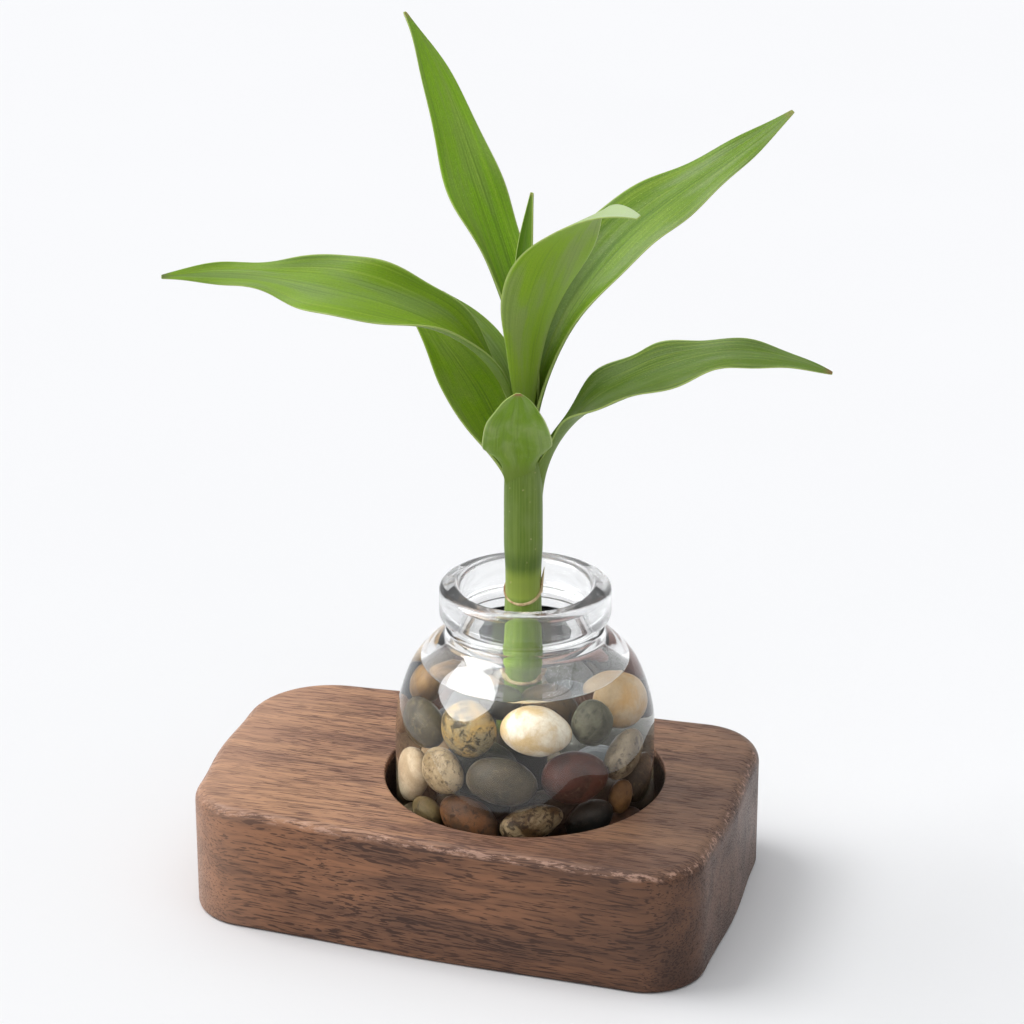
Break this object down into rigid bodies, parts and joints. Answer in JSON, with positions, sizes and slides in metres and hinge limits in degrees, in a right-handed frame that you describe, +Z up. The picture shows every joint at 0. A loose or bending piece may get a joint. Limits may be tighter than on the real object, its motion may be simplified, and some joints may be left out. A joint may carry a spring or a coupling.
{
  "type": "lucky bamboo in jar",
  "caption": "Lucky bamboo shoot with long arching leaves, rooted in a round glass jar of water and river pebbles set in a wooden block.",
  "frame": {"origin": "on the underside of the wooden block, at the middle of its plan", "axes": "+Z up along the stem, +X along the block's long side to the right as the plant is seen, +Y to the back"},
  "size_m": [0.1746, 0.1139, 0.236],
  "materials": {
    "walnut": "satin, mid brown with fine dark grain",
    "clear_glass": "clear, smooth",
    "water": "clear still water",
    "leaf": null,
    "stem": null,
    "stone_back_tan": "wet river pebble, smooth",
    "stone_big_tan": "wet river pebble, smooth",
    "stone_brown_orange": "wet river pebble, smooth",
    "stone_cream_ochre": "wet river pebble, smooth",
    "stone_cream_oval": "wet river pebble, smooth",
    "stone_cream_speckled": "wet river pebble, smooth",
    "stone_dark_gold": "wet river pebble, smooth",
    "stone_dark_green": "wet river pebble, smooth",
    "stone_dark_grey": "wet river pebble, smooth",
    "stone_dark_olive": "wet river pebble, smooth",
    "stone_dusty_red": "wet river pebble, smooth",
    "stone_golden_brown": "wet river pebble, smooth",
    "stone_green_grey": "wet river pebble, smooth",
    "stone_grey_green": "wet river pebble, smooth",
    "stone_mix_1": "wet river pebble, smooth",
    "stone_mix_2": "wet river pebble, smooth",
    "stone_mix_3": "wet river pebble, smooth",
    "stone_mix_4": "wet river pebble, smooth",
    "stone_mix_5": "wet river pebble, smooth",
    "stone_mix_6": "wet river pebble, smooth",
    "stone_mix_7": "wet river pebble, smooth",
    "stone_mix_8": "wet river pebble, smooth",
    "stone_olive": "wet river pebble, smooth",
    "stone_orange_tan": "wet river pebble, smooth",
    "stone_pale_cream": "wet river pebble, smooth",
    "stone_pale_speckled": "wet river pebble, smooth",
    "stone_red_brown": "wet river pebble, smooth",
    "stone_slate": "wet river pebble, smooth",
    "stone_speckled_ochre": "wet river pebble, smooth",
    "stone_tan_pink": "wet river pebble, smooth",
    "stone_yellow_green": "wet river pebble, smooth"
  },
  "bodies": {
    "root": {"glass_jar": "clear_glass", "leaf_back_inner": "leaf", "leaf_back_left": "leaf", "leaf_front_centre": "leaf", "leaf_front_short": "leaf", "leaf_long_left": "leaf", "leaf_lower_right": "leaf", "leaf_spear": "leaf", "leaf_upper_left": "leaf", "leaf_upper_right": "leaf", "pebble_back_tan": "stone_back_tan", "pebble_big_tan": "stone_big_tan", "pebble_brown_orange": "stone_brown_orange", "pebble_cream_ochre": "stone_cream_ochre", "pebble_cream_oval": "stone_cream_oval", "pebble_cream_speckled": "stone_cream_speckled", "pebble_dark_gold": "stone_dark_gold", "pebble_dark_green": "stone_dark_green", "pebble_dark_grey": "stone_dark_grey", "pebble_dark_olive": "stone_dark_olive", "pebble_dusty_red": "stone_dusty_red", "pebble_golden_brown": "stone_golden_brown", "pebble_green_grey": "stone_green_grey", "pebble_grey_green": "stone_grey_green", "pebble_inner_1": "stone_mix_1", "pebble_inner_10": "stone_mix_2", "pebble_inner_11": "stone_mix_3", "pebble_inner_12": "stone_mix_4", "pebble_inner_13": "stone_mix_5", "pebble_inner_14": "stone_mix_6", "pebble_inner_15": "stone_mix_7", "pebble_inner_16": "stone_mix_8", "pebble_inner_17": "stone_mix_1", "pebble_inner_18": "stone_mix_2", "pebble_inner_19": "stone_mix_3", "pebble_inner_2": "stone_mix_2", "pebble_inner_20": "stone_mix_4", "pebble_inner_21": "stone_mix_5", "pebble_inner_22": "stone_mix_6", "pebble_inner_23": "stone_mix_7", "pebble_inner_3": "stone_mix_3", "pebble_inner_4": "stone_mix_4", "pebble_inner_5": "stone_mix_5", "pebble_inner_6": "stone_mix_6", "pebble_inner_7": "stone_mix_7", "pebble_inner_8": "stone_mix_8", "pebble_inner_9": "stone_mix_1", "pebble_olive": "stone_olive", "pebble_orange_tan": "stone_orange_tan", "pebble_pale_cream": "stone_pale_cream", "pebble_pale_speckled": "stone_pale_speckled", "pebble_red_brown": "stone_red_brown", "pebble_slate": "stone_slate", "pebble_speckled_ochre": "stone_speckled_ochre", "pebble_tan_pink": "stone_tan_pink", "pebble_yellow_green": "stone_yellow_green", "stem": "stem", "water": "water", "wood_base": "walnut"}
  },
  "joints": []
}
